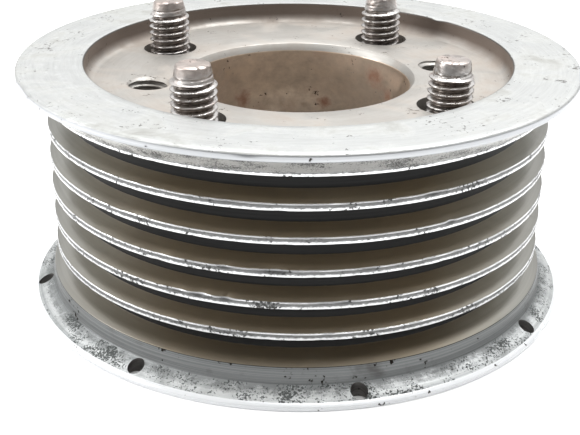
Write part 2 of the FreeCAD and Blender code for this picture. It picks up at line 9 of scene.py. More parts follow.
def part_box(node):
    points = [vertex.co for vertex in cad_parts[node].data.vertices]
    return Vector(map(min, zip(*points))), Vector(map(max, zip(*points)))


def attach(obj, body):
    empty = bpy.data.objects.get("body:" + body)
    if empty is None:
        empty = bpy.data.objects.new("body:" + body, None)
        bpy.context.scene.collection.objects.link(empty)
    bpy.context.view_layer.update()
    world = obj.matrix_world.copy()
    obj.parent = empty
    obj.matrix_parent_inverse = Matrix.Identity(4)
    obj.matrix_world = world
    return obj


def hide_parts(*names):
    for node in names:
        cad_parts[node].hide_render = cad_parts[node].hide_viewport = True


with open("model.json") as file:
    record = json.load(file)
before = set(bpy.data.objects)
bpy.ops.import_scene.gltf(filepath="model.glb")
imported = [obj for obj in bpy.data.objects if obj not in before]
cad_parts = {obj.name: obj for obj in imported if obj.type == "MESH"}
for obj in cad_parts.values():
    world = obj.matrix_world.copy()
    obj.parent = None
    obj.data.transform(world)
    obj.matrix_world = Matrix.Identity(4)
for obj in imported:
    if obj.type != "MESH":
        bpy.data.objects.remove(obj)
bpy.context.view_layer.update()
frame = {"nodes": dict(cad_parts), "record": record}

MM = 0.001
FULL_TURN = 2 * math.pi
AXIS = Vector((0, 0, 1))
SHELL = "pulley_shell"
BOLTS = [f"mounting_bolt_{index}" for index in (1, 2, 3, 4)]

mounts = {mount["name"]: mount for mount in frame["record"]["mounts"]}
shell_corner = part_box(SHELL)[1]
RIM_RADIUS = shell_corner.x / MM
RIM_TOP = shell_corner.z / MM
PILOT_RADIUS = mounts["pilot_bore"]["dims"]["r_mm"]
RECESS_FLOOR = mounts["recess_floor"]["pos_m"][2] / MM
STUD_CIRCLE = mounts["mounting_studs"]["dims"]["pcd_mm"] / 2
RIDGE_RADIUS = mounts["belt_grooves"]["dims"]["r_mm"]

# the belt grooves, millimetres
GROOVES = 6
PITCH = 3.56
MOUTH = 2.81
DEPTH = 2.1
FLANK_SLOPE = math.tan(math.radians(20))
TOP_GROOVE_EDGE = 24.21

# the rest of the shell, millimetres
WEB_UNDER = 20.2
CAVITY_RADIUS = 24.6
RECESS_RADIUS = 24.7
RECESS_CORNER = 1.1
TUBE_RADIUS = 15.5
TUBE_LOW = 9.9
BEARING_SEAT = 13.0
CLIP_GROOVE = 13.5
SHOULDER = 12.3
PILOT_CHAMFER = 0.5
PILOT_CHAMFER_DEPTH = 0.9
STUD_HOLE_RADIUS = 3.3
RIM_CHAMFER = 0.2
RIM_SKIN = 0.3
FLANGE_TOP = 1.72
CAVITY_CHAMFER = 0.5
# outlines as (radius, height): out over the lower flange, up under the upper rim, and down the bearing seat
FLANGE_OUTLINE = [(31.6, 0), (RIM_RADIUS, 0), (RIM_RADIUS, 0.45), (31.87, 0.73), (31.2, 1.07), (30.5, 1.42),
                  (29.9, FLANGE_TOP)]
BASE_LAND_RADII = (29.87, 29.8, 29.7)
RIM_OUTLINE = [(RIDGE_RADIUS, TOP_GROOVE_EDGE + 0.35), (30.2, 25.3), (31.3, 26.11), (RIM_RADIUS, 26.85),
               (RIM_RADIUS, 27.1), (RIM_RADIUS, RIM_TOP - RIM_CHAMFER), (RIM_RADIUS - RIM_CHAMFER, RIM_TOP)]
SEAT_OUTLINE = [(PILOT_RADIUS, 21.0), (PILOT_RADIUS, 17.0), (BEARING_SEAT, 16.0), (CLIP_GROOVE, 16.0),
                (CLIP_GROOVE, 15.2), (BEARING_SEAT, 15.2), (BEARING_SEAT, 10.2), (SHOULDER, 10.2),
                (SHOULDER, TUBE_LOW), (TUBE_RADIUS, TUBE_LOW)]

# how many facets the shell has round the axis, and into how many rings its faces and its corner are cut
SHELL_STEPS = 480
RIM_RINGS = 9
CORNER_RINGS = 8
RECESS_RINGS = (20.6, 18.3, 16.0)
# edges that bend by more than this many degrees are drawn sharp
SHELL_SHARP = 32.0
BOLT_SHARP = 50.0
# the floor lies this far below the lower rim, so that the two faces never fight
FLOOR_GAP = 0.03
FLOOR_HALF = 3.0


# ---- colours and node helpers ----


def tone(red, green, blue):
    """A screen colour, 0 to 255, as the linear colour that a shader wants."""
    def linear(value):
        value /= 255
        return value / 12.92 if value <= 0.04045 else ((value + 0.055) / 1.055) ** 2.4
    return (linear(red), linear(green), linear(blue), 1.0)


def add(tree, kind, inputs=None, **settings):
    """Add a node, set its options, and fill or link its inputs by name or number."""
    node = tree.nodes.new(kind)
    for key, value in settings.items():
        setattr(node, key, value)
    for key, value in (inputs or {}).items():
        if isinstance(value, bpy.types.NodeSocket):
            tree.links.new(value, node.inputs[key])
        else:
            node.inputs[key].default_value = value
    return node


def maths(tree, operation, *values):
    return add(tree, "ShaderNodeMath", dict(enumerate(values)), operation=operation).outputs[0]


def vector_maths(tree, operation, *values):
    return add(tree, "ShaderNodeVectorMath", dict(enumerate(values)), operation=operation).outputs[0]


def blend_colours(tree, factor, first, second):
    """The first colour where the factor is 0 and the second where it is 1."""
    node = tree.nodes.new("ShaderNodeMix")
    node.data_type = "RGBA"
    sockets = {"Factor": node.inputs[0], "A": node.inputs[6], "B": node.inputs[7]}
    for key, value in (("Factor", factor), ("A", first), ("B", second)):
        if isinstance(value, bpy.types.NodeSocket):
            tree.links.new(value, sockets[key])
        else:
            sockets[key].default_value = value
    return node.outputs[2]


def spread(tree, value, low, high, out_low=0.0, out_high=1.0):
    """Stretch a value from low..high to out_low..out_high, clamped."""
    node = add(tree, "ShaderNodeMapRange", {0: value, 1: low, 2: high, 3: out_low, 4: out_high})
    return node.outputs[0]


def new_group(name, inputs, outputs):
    """An empty shader node group with named sockets. Returns the group, its inputs and its output node."""
    group = bpy.data.node_groups.new(name, "ShaderNodeTree")
    for socket, default in inputs.items():
        kind = "NodeSocketVector" if default is None else "NodeSocketFloat"
        made = group.interface.new_socket(socket, in_out="INPUT", socket_type=kind)
        if default is not None:
            made.default_value = default
    for socket in outputs:
        group.interface.new_socket(socket, in_out="OUTPUT", socket_type="NodeSocketFloat")
    entry = group.nodes.new("NodeGroupInput").outputs
    leave = group.nodes.new("NodeGroupOutput").inputs
    return group, entry, leave


def plus(tree, value, mask, share):
    """A value with a share of a mask added to it. A negative share takes it away."""
    return maths(tree, "ADD", value, maths(tree, "MULTIPLY", mask, share))


def noise_of(tree, vector, scale, detail=3.0, roughness=0.55, distortion=0.0):
    inputs = {
        "Vector": vector,
        "Scale": scale,
        "Detail": detail,
        "Roughness": roughness,
        "Distortion": distortion,
    }
    return add(tree, "ShaderNodeTexNoise", inputs).outputs[0]


def scaled_place(tree, entry):
    """The place that a group is given, times its own Scale."""
    inputs = {0: entry["Vector"], "Scale": entry["Scale"]}
    return add(tree, "ShaderNodeVectorMath", inputs, operation="SCALE").outputs[0]


def height_of(tree, place):
    return add(tree, "ShaderNodeSeparateXYZ", {0: place}).outputs[2]


def make_turning_marks():
    """Fine rings left by a lathe tool: noise that changes with radius and height and hardly with angle."""
    inputs = {"Vector": None, "Rings": 9.0, "Waver": 1.0}
    group, entry, leave = new_group("turning_marks", inputs, ["Marks"])
    parts = add(group, "ShaderNodeSeparateXYZ", {0: entry["Vector"]}).outputs
    flat = add(group, "ShaderNodeCombineXYZ", {0: parts[0], 1: parts[1], 2: 0.0}).outputs[0]
    radius = add(group, "ShaderNodeVectorMath", {0: flat}, operation="LENGTH").outputs["Value"]
    direction = vector_maths(group, "NORMALIZE", flat)
    split = add(group, "ShaderNodeSeparateXYZ", {0: direction}).outputs
    ring = maths(group, "ADD", radius, maths(group, "MULTIPLY", parts[2], 1.37))
    ring = maths(group, "MULTIPLY", ring, entry["Rings"])
    across = maths(group, "MULTIPLY", split[0], entry["Waver"])
    along = maths(group, "MULTIPLY", split[1], entry["Waver"])
    place = add(group, "ShaderNodeCombineXYZ", {0: across, 1: along, 2: ring}).outputs[0]
    group.links.new(noise_of(group, place, 1.0, 4.0, 0.65), leave["Marks"])
    return group


def make_pits():
    """Small dark pits and specks, scattered in clusters."""
    inputs = {"Vector": None, "Scale": 2.0, "Amount": 0.5}
    group, entry, leave = new_group("pits", inputs, ["Pits"])
    fine = noise_of(group, scaled_place(group, entry), 1.0, 2.0, 0.6)
    cluster = noise_of(group, entry["Vector"], 0.35, 2.0)
    gathered = maths(group, "MULTIPLY", maths(group, "SUBTRACT", cluster, 0.5), 0.8)
    level = maths(group, "ADD", fine, gathered)
    edge = maths(group, "SUBTRACT", 0.78, maths(group, "MULTIPLY", entry["Amount"], 0.3))
    top = maths(group, "ADD", edge, 0.06)
    mask = add(group, "ShaderNodeMapRange", {0: level, 1: edge, 2: top}).outputs[0]
    group.links.new(mask, leave["Pits"])
    return group


def make_stains():
    """Soft patches of dirt, oil film or rust, as a mask from 0 to 1."""
    inputs = {"Vector": None, "Scale": 0.2, "Amount": 0.5}
    group, entry, leave = new_group("stains", inputs, ["Stain"])
    cloud = noise_of(group, scaled_place(group, entry), 1.0, 6.0, 0.62, 0.4)
    low = maths(group, "SUBTRACT", 0.75, maths(group, "MULTIPLY", entry["Amount"], 0.5))
    high = maths(group, "ADD", low, 0.22)
    mask = add(group, "ShaderNodeMapRange", {0: cloud, 1: low, 2: high}).outputs[0]
    group.links.new(mask, leave["Stain"])
    return group


def make_scratches():
    """Hairline scratches that run in two directions across a face."""
    group, entry, leave = new_group("scratches", {"Vector": None, "Amount": 0.5}, ["Scratches"])
    masks = []
    for angle, stretch in ((0.5, (0.35, 9.0, 0.35)), (2.2, (0.5, 11.0, 0.5))):
        turned = add(group, "ShaderNodeVectorRotate", {"Vector": entry["Vector"], "Angle": angle})
        placed = vector_maths(group, "MULTIPLY", turned.outputs[0], stretch)
        line = noise_of(group, placed, 1.0, 1.0, 0.5, 0.3)
        masks.append(maths(group, "COMPARE", line, 0.5, 0.006))
    both = maths(group, "MAXIMUM", *masks)
    patch = noise_of(group, entry["Vector"], 0.5, 1.0)
    limit = maths(group, "SUBTRACT", 0.85, maths(group, "MULTIPLY", entry["Amount"], 0.5))
    kept = maths(group, "GREATER_THAN", patch, limit)
    group.links.new(maths(group, "MULTIPLY", both, kept), leave["Scratches"])
    return group


MARKS = make_turning_marks()
PITS = make_pits()
STAINS = make_stains()
SCRATCHES = make_scratches()


def effect(tree, group, vector, **values):
    """Use one of the shader groups in a material, with its own settings."""
    node = tree.nodes.new("ShaderNodeGroup")
    node.node_tree = group
    tree.links.new(vector, node.inputs["Vector"])
    for key, value in values.items():
        node.inputs[key].default_value = value
    return node.outputs[0]


def start_material(name):
    """A material with one Principled BSDF. Returns it, its tree, its shader and the place in millimetres."""
    material = bpy.data.materials.new(name)
    material.use_nodes = True
    tree = material.node_tree
    tree.nodes.clear()
    shader = tree.nodes.new("ShaderNodeBsdfPrincipled")
    output = tree.nodes.new("ShaderNodeOutputMaterial")
    tree.links.new(shader.outputs[0], output.inputs[0])
    coordinates = tree.nodes.new("ShaderNodeTexCoord").outputs["Object"]
    place = vector_maths(tree, "MULTIPLY", coordinates, (1 / MM, 1 / MM, 1 / MM))
    return material, tree, shader, place


def spot_mask(tree, place, spots):
    """Ragged blotches round the given places."""
    ragged = noise_of(tree, place, 0.9, 5.0, 0.7)
    mask = None
    for middle, size in spots:
        far = add(tree, "ShaderNodeVectorMath", {0: place, 1: middle}, operation="DISTANCE")
        share = maths(tree, "DIVIDE", far.outputs["Value"], size)
        level = maths(tree, "SUBTRACT", maths(tree, "MULTIPLY", ragged, 2.2), share)
        one = spread(tree, level, 0.0, 0.9, 0.0, 0.75)
        mask = one if mask is None else maths(tree, "MAXIMUM", mask, one)
    return mask


def land_scuff_and_shade(tree, place):
    """A rougher band on every land between the belt grooves, patchy, below its bright top edge; its darker
    colour is painted shade.
    """
    below = maths(tree, "SUBTRACT", height_of(tree, place), TOP_GROOVE_EDGE)
    phase = maths(tree, "DIVIDE", below, PITCH)
    share = maths(tree, "FRACT", phase)
    ragged = maths(tree, "MULTIPLY", noise_of(tree, place, 2.6, 6.0, 0.75), 0.17)
    low_side = spread(tree, maths(tree, "ADD", share, ragged), 0.13, 0.18)
    high_side = spread(tree, share, 0.172, 0.192, 1.0, 0.0)
    return maths(tree, "MULTIPLY", low_side, high_side)


def painted_flank_reflection(tree, place):
    """A brown tint on the groove flanks, strongest at the front and the back and fading towards the sides: a
    painted reflection.
    """
    sideways = maths(tree, "ABSOLUTE", add(tree, "ShaderNodeSeparateXYZ", {0: place}).outputs[0])
    ragged = maths(tree, "MULTIPLY", noise_of(tree, place, 0.12, 2.0, 0.5), 8.0)
    return spread(tree, maths(tree, "ADD", sideways, ragged), 16.0, 30.0, 0.9, 0.0)


def recess_wall_shade(tree, place):
    """The upper wall of the recess, darker and browner towards the top: painted shade."""
    ragged = maths(tree, "MULTIPLY", noise_of(tree, place, 0.3, 3.0, 0.6), 0.8)
    level = maths(tree, "ADD", height_of(tree, place), ragged)
    return spread(tree, level, RECESS_FLOOR + 0.3, RECESS_FLOOR + 1.5, 0.0, 0.9)


def stud_end(tree, place):
    """The end of every stud, which has rusted where no nut covered it."""
    ragged = maths(tree, "MULTIPLY", noise_of(tree, place, 1.6, 4.0, 0.7), 3.0)
    return spread(tree, maths(tree, "ADD", height_of(tree, place), ragged), 30.7, 32.4, 0.0, 0.8)


def inner_edge(tree, place):
    """Grime that has gathered in the inner corner of the lower flange and thins out towards its edge."""
    flat = vector_maths(tree, "MULTIPLY", place, (1, 1, 0))
    radius = add(tree, "ShaderNodeVectorMath", {0: flat}, operation="LENGTH").outputs["Value"]
    ragged = maths(tree, "MULTIPLY", noise_of(tree, place, 0.9, 8.0, 0.82), 4.6)
    return spread(tree, maths(tree, "SUBTRACT", radius, ragged), 28.8, 28.0, 0.0, 0.62)


def metal(name, light, dark, rough=(0.25, 0.45), metallic=1.0, rings=9.0, waver=1.0, ring_contrast=0.5,
          ring_bump=0.2, pits=0.0, pit_scale=2.0, pit_colour=None, stain=0.0, stain_scale=0.15,
          stain_colour=None, scratches=0.0, grain=0.0, fade=None, spots=None):
    """A machined metal finish. Light and dark are the colours of its turning marks.

    fade is a function that makes a mask from the place, with the colour that the mask brings.
    spots is a list of (place in mm, radius in mm), with the colour of those spots.
    """
    material, tree, shader, place = start_material(name)
    marks = effect(tree, MARKS, place, Rings=rings, Waver=waver)
    marks = spread(tree, marks, 0.5 - 0.5 * ring_contrast, 0.5 + 0.5 * ring_contrast)
    colour = blend_colours(tree, marks, dark, light)
    roughness = spread(tree, marks, 0.0, 1.0, rough[1], rough[0])
    height = maths(tree, "MULTIPLY", marks, ring_bump)
    metalness = None
    if scratches:
        lines = effect(tree, SCRATCHES, place, Amount=scratches)
        colour = blend_colours(tree, maths(tree, "MULTIPLY", lines, 0.45), colour, dark)
        height = plus(tree, height, lines, -0.3)
    if stain:
        mask = effect(tree, STAINS, place, Scale=stain_scale, Amount=stain)
        colour = blend_colours(tree, mask, colour, stain_colour)
        roughness = plus(tree, roughness, mask, 0.25)
        metalness = plus(tree, metallic, mask, -0.45)
    if fade:
        mask = fade[0](tree, place)
        colour = blend_colours(tree, mask, colour, fade[1])
        roughness = plus(tree, roughness, mask, 0.15)
    if spots:
        mask = spot_mask(tree, place, spots[0])
        colour = blend_colours(tree, mask, colour, spots[1])
        roughness = plus(tree, roughness, mask, 0.3)
    if pits:
        mask = effect(tree, PITS, place, Scale=pit_scale, Amount=pits)
        colour = blend_colours(tree, mask, colour, pit_colour or dark)
        height = maths(tree, "SUBTRACT", height, mask)
        roughness = plus(tree, roughness, mask, 0.3)
    if grain:
        fine = noise_of(tree, place, 14.0, 2.0, 0.6)
        height = plus(tree, height, fine, grain)
        colour = blend_colours(tree, spread(tree, fine, 0.35, 0.75, 0.0, 0.25), colour, dark)
    tree.links.new(colour, shader.inputs["Base Color"])
    tree.links.new(roughness, shader.inputs["Roughness"])
    if metalness is None:
        shader.inputs["Metallic"].default_value = metallic
    else:
        tree.links.new(metalness, shader.inputs["Metallic"])
    bump = add(tree, "ShaderNodeBump", {"Height": height, "Strength": 0.35, "Distance": 0.06 * MM})
    tree.links.new(bump.outputs[0], shader.inputs["Normal"])
    return material


def moulded(name, light, dark, rough=(0.45, 0.7), grain_scale=6.0, bump=0.25):
    """A moulded, cast or painted finish with a fine grain and soft uneven colour."""
    material, tree, shader, place = start_material(name)
    cloud = noise_of(tree, place, 0.5, 4.0, 0.6)
    grain = noise_of(tree, place, grain_scale, 3.0, 0.6)
    both = maths(tree, "ADD", maths(tree, "MULTIPLY", cloud, 0.7), maths(tree, "MULTIPLY", grain, 0.3))
    mask = spread(tree, both, 0.35, 0.65)
    tree.links.new(blend_colours(tree, mask, dark, light), shader.inputs["Base Color"])
    tree.links.new(spread(tree, mask, 0.0, 1.0, rough[1], rough[0]), shader.inputs["Roughness"])
    bumps = add(tree, "ShaderNodeBump", {"Height": grain, "Strength": bump, "Distance": 0.08 * MM})
    tree.links.new(bumps.outputs[0], shader.inputs["Normal"])
    return material


RUST = tone(146, 100, 78)
# where the pilot bore has rusted: the middle of each patch and its radius, millimetres
RUST_SPOTS = [
    ((9.6, 8.9, 22.2), 1.7),
    ((11.2, 6.8, 20.4), 1.1),
    ((3.4, 12.6, 17.6), 1.0),
    ((-7.1, 11.0, 18.4), 1.3),
    ((-11.4, 6.4, 22.6), 1.2),
    ((6.0, -11.6, 20.0), 1.6),
]
GRIME = tone(46, 42, 38)

RIM_FACE = metal(
    "worn_rim_face", tone(208, 210, 209), tone(158, 159, 158), rough=(0.36, 0.5), rings=3.0, waver=6.0,
    ring_contrast=0.8, ring_bump=0.15, pits=0.25, pit_scale=2.4, pit_colour=tone(92, 90, 88),
    stain=0.55, stain_scale=0.2, stain_colour=tone(140, 140, 136), scratches=0.8, grain=0.4,
)
RIM_EDGE = metal(
    "rim_edge", tone(184, 186, 188), tone(148, 150, 153), rough=(0.28, 0.4), rings=14.0, ring_bump=0.2,
    pits=0.1, pit_scale=1.6, pit_colour=GRIME,
)
UNDERCUT = metal(
    "pitted_undercut", tone(232, 232, 230), tone(178, 178, 176), rough=(0.4, 0.6), rings=6.0, pits=0.85,
    pit_scale=6.0, pit_colour=tone(88, 88, 87), grain=0.8,
)
RIDGE = metal(
    "worn_and_shaded_ridge", tone(236, 237, 238), tone(196, 197, 198), rough=(0.16, 0.34), rings=9.0, waver=3.0,
    ring_contrast=0.7, ring_bump=0.15, pits=0.5, pit_scale=3.2, pit_colour=tone(50, 50, 48), grain=0.3,
    # the dark band on the lands is painted shade; only its added roughness is real scuffing
    fade=(land_scuff_and_shade, tone(82, 82, 81)),
)
GROOVE = metal(
    "belt_groove", tone(160, 159, 153), tone(120, 119, 114), rough=(0.24, 0.36), rings=9.0, waver=0.3,
    ring_contrast=1.4, ring_bump=0.05, stain=0.3, stain_scale=0.07, stain_colour=tone(112, 106, 95),
    # the brown tint that fades towards the sides is a painted reflection
    fade=(painted_flank_reflection, tone(127, 118, 103)),
)
# the near-black groove roots are painted shade
GROOVE_ROOT_SHADE = metal(
    "painted_shade_groove_root", tone(36, 36, 36), tone(12, 12, 12), rough=(0.3, 0.5), rings=8.0, waver=0.3,
    ring_contrast=0.7, metallic=0.8,
)
BASE_LAND = metal(
    "dull_base_land", tone(138, 140, 140), tone(86, 88, 88), rough=(0.35, 0.55), rings=8.0, waver=0.8,
    ring_contrast=0.6, pits=0.22, pit_scale=1.6, pit_colour=GRIME, stain=0.35, stain_scale=0.2,
    stain_colour=tone(84, 82, 80),
)
FLANGE = metal(
    "grimy_flange", tone(212, 214, 214), tone(150, 153, 153), rough=(0.38, 0.55), rings=6.0, pits=0.72,
    pit_scale=4.6, pit_colour=tone(100, 103, 102), stain=0.45, stain_scale=0.16,
    stain_colour=tone(124, 127, 126), grain=0.7, fade=(inner_edge, tone(80, 83, 83)),
)
FLANGE_EDGE = metal(
    "bright_flange_edge", tone(238, 240, 242), tone(206, 208, 210), rough=(0.22, 0.34), rings=12.0,
    pits=0.12, pit_scale=1.4, pit_colour=GRIME, metallic=0.2,
)
# a thin dark line round the mouth of the recess: painted shade
RECESS_EDGE_SHADE = metal(
    "painted_shade_recess_edge", tone(120, 118, 115), tone(84, 82, 80), rough=(0.4, 0.5), rings=6.0,
)
RECESS = metal(
    "stained_and_shaded_recess", tone(178, 176, 172), tone(148, 145, 140), rough=(0.44, 0.56), rings=2.5,
    waver=4.0, ring_contrast=0.9, pits=0.15, pit_scale=2.2, pit_colour=tone(96, 90, 84), stain=0.62,
    stain_scale=0.13, stain_colour=tone(150, 142, 134), grain=0.3,
    # the darker brown upper wall is painted shade; the stain patches above are real
    fade=(recess_wall_shade, tone(120, 106, 96)),
)
BORE = metal(
    "rusty_bore", tone(220, 204, 186), tone(176, 160, 144), rough=(0.35, 0.55), rings=0.5, waver=7.0,
    ring_contrast=0.5, pits=0.05, pit_scale=1.5, pit_colour=tone(84, 66, 56), stain=0.5,
    stain_scale=0.16, stain_colour=tone(176, 150, 128), spots=(RUST_SPOTS, RUST),
)
CAVITY = metal(
    "dull_inside", tone(120, 118, 116), tone(84, 82, 80), rough=(0.45, 0.6), rings=5.0, pits=0.2,
    pit_colour=GRIME, stain=0.4, stain_scale=0.1, stain_colour=tone(70, 62, 54),
)
STUD = metal(
    "plated_stud", tone(230, 228, 226), tone(136, 130, 126), rough=(0.2, 0.38), rings=2.0, waver=3.0,
    ring_contrast=0.9, pits=0.35, pit_scale=3.4, pit_colour=tone(60, 50, 44), stain=0.45,
    stain_scale=0.35, stain_colour=tone(134, 110, 100), grain=0.4, fade=(stud_end, tone(163, 151, 144)),
)
THREAD_ROOT = metal(
    "grimy_thread_root", tone(148, 140, 134), tone(96, 88, 82), rough=(0.35, 0.5), rings=2.0, waver=3.0,
    stain=0.4, stain_scale=0.4, stain_colour=tone(84, 62, 52),
)
PLATE = metal(
    "rolled_plate", tone(150, 148, 146), tone(112, 110, 108), rough=(0.35, 0.5), rings=5.0, pits=0.2,
    pit_colour=GRIME,
)
SPRING_STEEL = metal(
    "blued_spring", tone(96, 102, 120), tone(62, 66, 80), rough=(0.25, 0.38), rings=3.0,
)
RIVET = metal("zinc_rivet", tone(206, 206, 202), tone(170, 170, 164), rough=(0.3, 0.45), rings=6.0)
BEARING = metal(
    "ground_bearing_steel", tone(214, 214, 216), tone(186, 186, 190), rough=(0.12, 0.22), rings=16.0,
    ring_bump=0.08,
)
CAGE = metal("brass_cage", tone(206, 172, 104), tone(170, 134, 74), rough=(0.28, 0.42), rings=8.0)
CIRCLIP = metal(
    "phosphated_circlip", tone(74, 74, 76), tone(48, 48, 50), rough=(0.4, 0.55), rings=5.0,
    metallic=0.8, grain=0.4,
)
ROTOR = metal(
    "turned_iron", tone(172, 170, 166), tone(132, 130, 126), rough=(0.28, 0.42), rings=7.0, stain=0.3,
    stain_scale=0.15, stain_colour=tone(110, 96, 84),
)
COPPER = metal("brazed_copper", tone(206, 140, 104), tone(160, 98, 68), rough=(0.25, 0.4), rings=8.0)
WIRE = metal(
    "enamelled_wire", tone(178, 96, 48), tone(120, 58, 26), rough=(0.2, 0.32), rings=12.0,
    ring_bump=0.9,
)
CONTACT = metal(
    "tinned_contact", tone(214, 190, 130), tone(176, 148, 88), rough=(0.22, 0.34), rings=6.0,
)
PAINT = moulded(
    "black_stator_paint", tone(52, 52, 55), tone(34, 34, 36), rough=(0.32, 0.5), grain_scale=4.0,
)
NYLON = moulded("natural_nylon", tone(214, 206, 184), tone(190, 180, 154))
RUBBER = moulded("seal_rubber", tone(40, 40, 42), tone(26, 26, 27), rough=(0.55, 0.75))
LINING = moulded(
    "friction_lining_mix", tone(96, 86, 76), tone(52, 46, 40), rough=(0.7, 0.9), grain_scale=3.0,
    bump=0.5,
)
RESIN = moulded("potting_resin", tone(112, 46, 34), tone(84, 30, 22), rough=(0.15, 0.25))


# ---- mesh helpers ----

# points closer than this many millimetres become one: in a spun outline, and in a finished mesh
SPUN_GAP = 0.0001
FINE_GAP = 0.00002
# a ring edge lies level and keeps its radius to within these lengths, metres
LEVEL_SLACK = 1e-8
RADIUS_SLACK = 1e-7
SMALLEST_RING = 1e-6
# only edges that bend by more than this many degrees are rounded
ROUND_FROM = 12


def finish_mesh(work, name, materials, sharp_degrees):
    """Turn a finished bmesh into an object at the origin, smooth except along its sharp edges."""
    bmesh.ops.remove_doubles(work, verts=work.verts, dist=FINE_GAP * MM)
    bmesh.ops.recalc_face_normals(work, faces=work.faces)
    mesh = bpy.data.meshes.new(name)
    work.to_mesh(mesh)
    work.free()
    for material in materials:
        mesh.materials.append(material)
    piece = bpy.data.objects.new(name, mesh)
    bpy.context.scene.collection.objects.link(piece)
    smooth(mesh, sharp_degrees)
    return piece


def smooth(mesh, sharp_degrees):
    """Shade a mesh smooth, except across edges that bend by more than sharp_degrees."""
    mesh.polygons.foreach_set("use_smooth", [True] * len(mesh.polygons))
    mesh.set_sharp_from_angle(angle=math.radians(sharp_degrees))


def spun(points, steps, closed=True):
    """Spin an outline of (radius, height) points in millimetres once round the axis."""
    work = bmesh.new()
    verts = [work.verts.new((radius * MM, 0, height * MM)) for radius, height in points]
    edges = [work.edges.new(pair) for pair in zip(verts, verts[1:])]
    if closed:
        edges.append(work.edges.new((verts[-1], verts[0])))
    bmesh.ops.spin(work, geom=verts + edges, cent=(0, 0, 0), axis=AXIS, dvec=(0, 0, 0), angle=FULL_TURN,
                   steps=steps, use_merge=True, use_duplicate=False)
    bmesh.ops.remove_doubles(work, verts=work.verts, dist=SPUN_GAP * MM)
    bmesh.ops.recalc_face_normals(work, faces=work.faces)
    return work


def ring_of(edge):
    """The radius and height of a ring edge in millimetres, or None for an edge that isn't part of a ring."""
    first, second = edge.verts[0].co, edge.verts[1].co
    if abs(first.z - second.z) > LEVEL_SLACK:
        return None
    radius = first.xy.length
    if abs(radius - second.xy.length) > RADIUS_SLACK or radius < SMALLEST_RING:
        return None
    return radius / MM, first.z / MM


def soften(work, size_of):
    """Round the sharp ring edges. size_of gives the width of the round for a radius and a height, or 0."""
    by_size = {}
    for edge in work.edges:
        if len(edge.link_faces) != 2 or edge.calc_face_angle(0.0) < math.radians(ROUND_FROM):
            continue
        ring = ring_of(edge)
        size = size_of(*ring) if ring else 0
        if size:
            by_size.setdefault(size, []).append(edge)
    for size, edges in sorted(by_size.items(), reverse=True):
        edges = [edge for edge in edges if edge.is_valid]
        bmesh.ops.bevel(work, geom=edges, offset=size * MM, offset_type="OFFSET", segments=2,
                        profile=0.5, affect="EDGES", material=-1, clamp_overlap=True)


def around(place):
    """The angle of a place round the axis, 0 to 360 degrees."""
    return math.degrees(math.atan2(place.y, place.x)) % 360


# ---- the pulley shell ----


def shell_outline():
    """The section of the shell: up the outside, over the rim, down through the bore and round the cavity."""
    points = [(CAVITY_RADIUS + CAVITY_CHAMFER, 0)] + FLANGE_OUTLINE
    lowest_mouth = TOP_GROOVE_EDGE - (GROOVES - 1) * PITCH - MOUTH
    land_rise = (lowest_mouth - FLANGE_TOP) / len(BASE_LAND_RADII)
    for number, radius in enumerate(BASE_LAND_RADII[:-1], 1):
        points.append((radius, FLANGE_TOP + number * land_rise))
    root = RIDGE_RADIUS - DEPTH
    drop = DEPTH * FLANK_SLOPE
    for index in reversed(range(GROOVES)):
        upper = TOP_GROOVE_EDGE - index * PITCH
        lower = upper - MOUTH
        start = BASE_LAND_RADII[-1] if index == GROOVES - 1 else RIDGE_RADIUS
        points += [
            (start, lower),
            ((start + root) / 2, lower + drop / 2),
            (root, lower + drop),
            (root, upper - drop),
            (RIDGE_RADIUS, upper),
        ]
        if index:
            points.append((RIDGE_RADIUS, upper + (PITCH - MOUTH) / 2))
    points += RIM_OUTLINE
    rim_width = RIM_RADIUS - RIM_CHAMFER - RECESS_RADIUS
    for ring in range(1, RIM_RINGS):
        points.append((RIM_RADIUS - RIM_CHAMFER - rim_width * ring / RIM_RINGS, RIM_TOP))
    points += [(RECESS_RADIUS, RIM_TOP), (RECESS_RADIUS, RIM_TOP - RIM_SKIN)]
    inner, above = RECESS_RADIUS - RECESS_CORNER, RECESS_FLOOR + RECESS_CORNER
    for ring in range(CORNER_RINGS + 1):
        turn = math.pi / 2 * ring / CORNER_RINGS
        points.append((inner + RECESS_CORNER * math.cos(turn), above - RECESS_CORNER * math.sin(turn)))
    points += [(radius, RECESS_FLOOR) for radius in RECESS_RINGS]
    points += [(PILOT_RADIUS + PILOT_CHAMFER, RECESS_FLOOR),
               (PILOT_RADIUS, RECESS_FLOOR - PILOT_CHAMFER_DEPTH)]
    points += SEAT_OUTLINE
    points += [(TUBE_RADIUS, WEB_UNDER), (CAVITY_RADIUS, WEB_UNDER), (CAVITY_RADIUS, CAVITY_CHAMFER)]
    return points


def edge_round(radius, height):
    """How much each ring edge of the shell is rounded off, in millimetres."""
    if radius > 28 and 3.2 < height < 24.3:
        return 0.07
    if abs(radius - RIDGE_RADIUS) < 0.1:
        return 0.08
    if radius > 31.5 and height > 26:
        return 0.1
    if abs(radius - RECESS_RADIUS) < 0.1:
        return 0.12 if height > RIM_TOP - 0.1 else 0
    if abs(radius - RIDGE_RADIUS + DEPTH) < 0.1:
        return 0.12
    if radius < 14 and height > 24:
        return 0.08
    if radius > 29 and height < 2:
        return 0.08
    return 0


